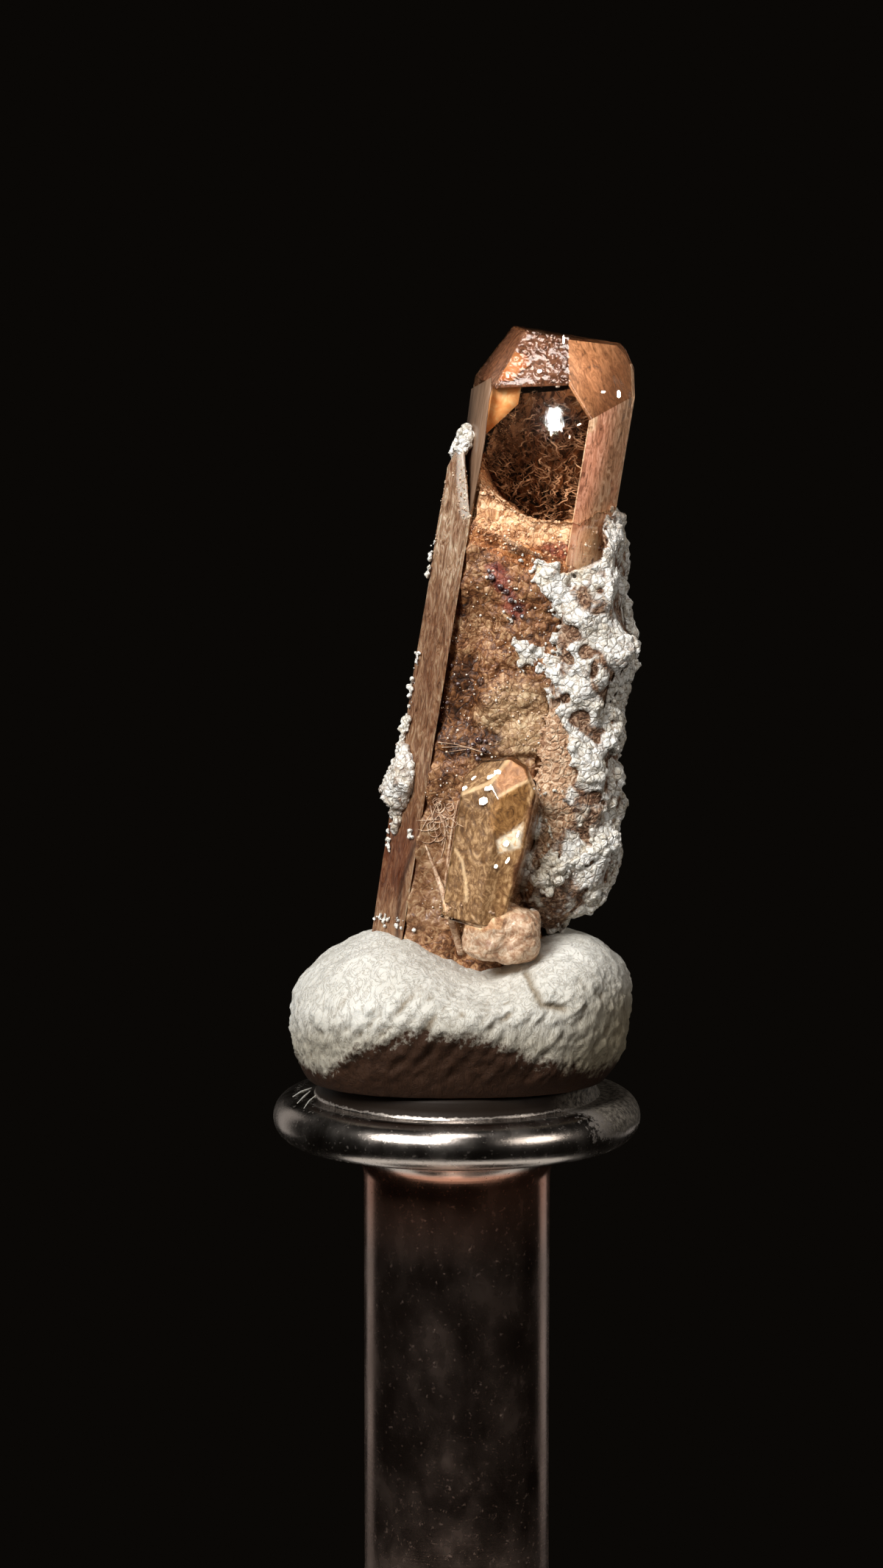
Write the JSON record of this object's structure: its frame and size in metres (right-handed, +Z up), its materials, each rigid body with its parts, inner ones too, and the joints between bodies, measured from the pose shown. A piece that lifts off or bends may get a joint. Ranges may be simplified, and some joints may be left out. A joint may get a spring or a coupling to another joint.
{
  "type": "topaz crystal",
  "caption": "Orange-brown topaz prisms with flat ends and white rock crust, pressed into putty on a turned metal post with a round foot.",
  "frame": {"origin": "centre of the foot's flat underside", "axes": "+Z up along the post, camera side of the specimen faces -Y, the crystals lean towards +X"},
  "size_m": [0.015, 0.015, 0.0394],
  "materials": {
    "topaz": "clear orange-brown crystal, glossy faces, sugary where etched",
    "rhyolite": "rough white rock crust with brown hollows",
    "putty": "matt white kneaded putty with finger marks",
    "steel": "polished with fine turning lines"
  },
  "bodies": {
    "root": {"topaz_crystal": "topaz", "matrix_right": "rhyolite", "matrix_left": "rhyolite", "matrix_tip": "rhyolite", "mounting_putty": "putty", "stand": "steel"}
  },
  "joints": []
}
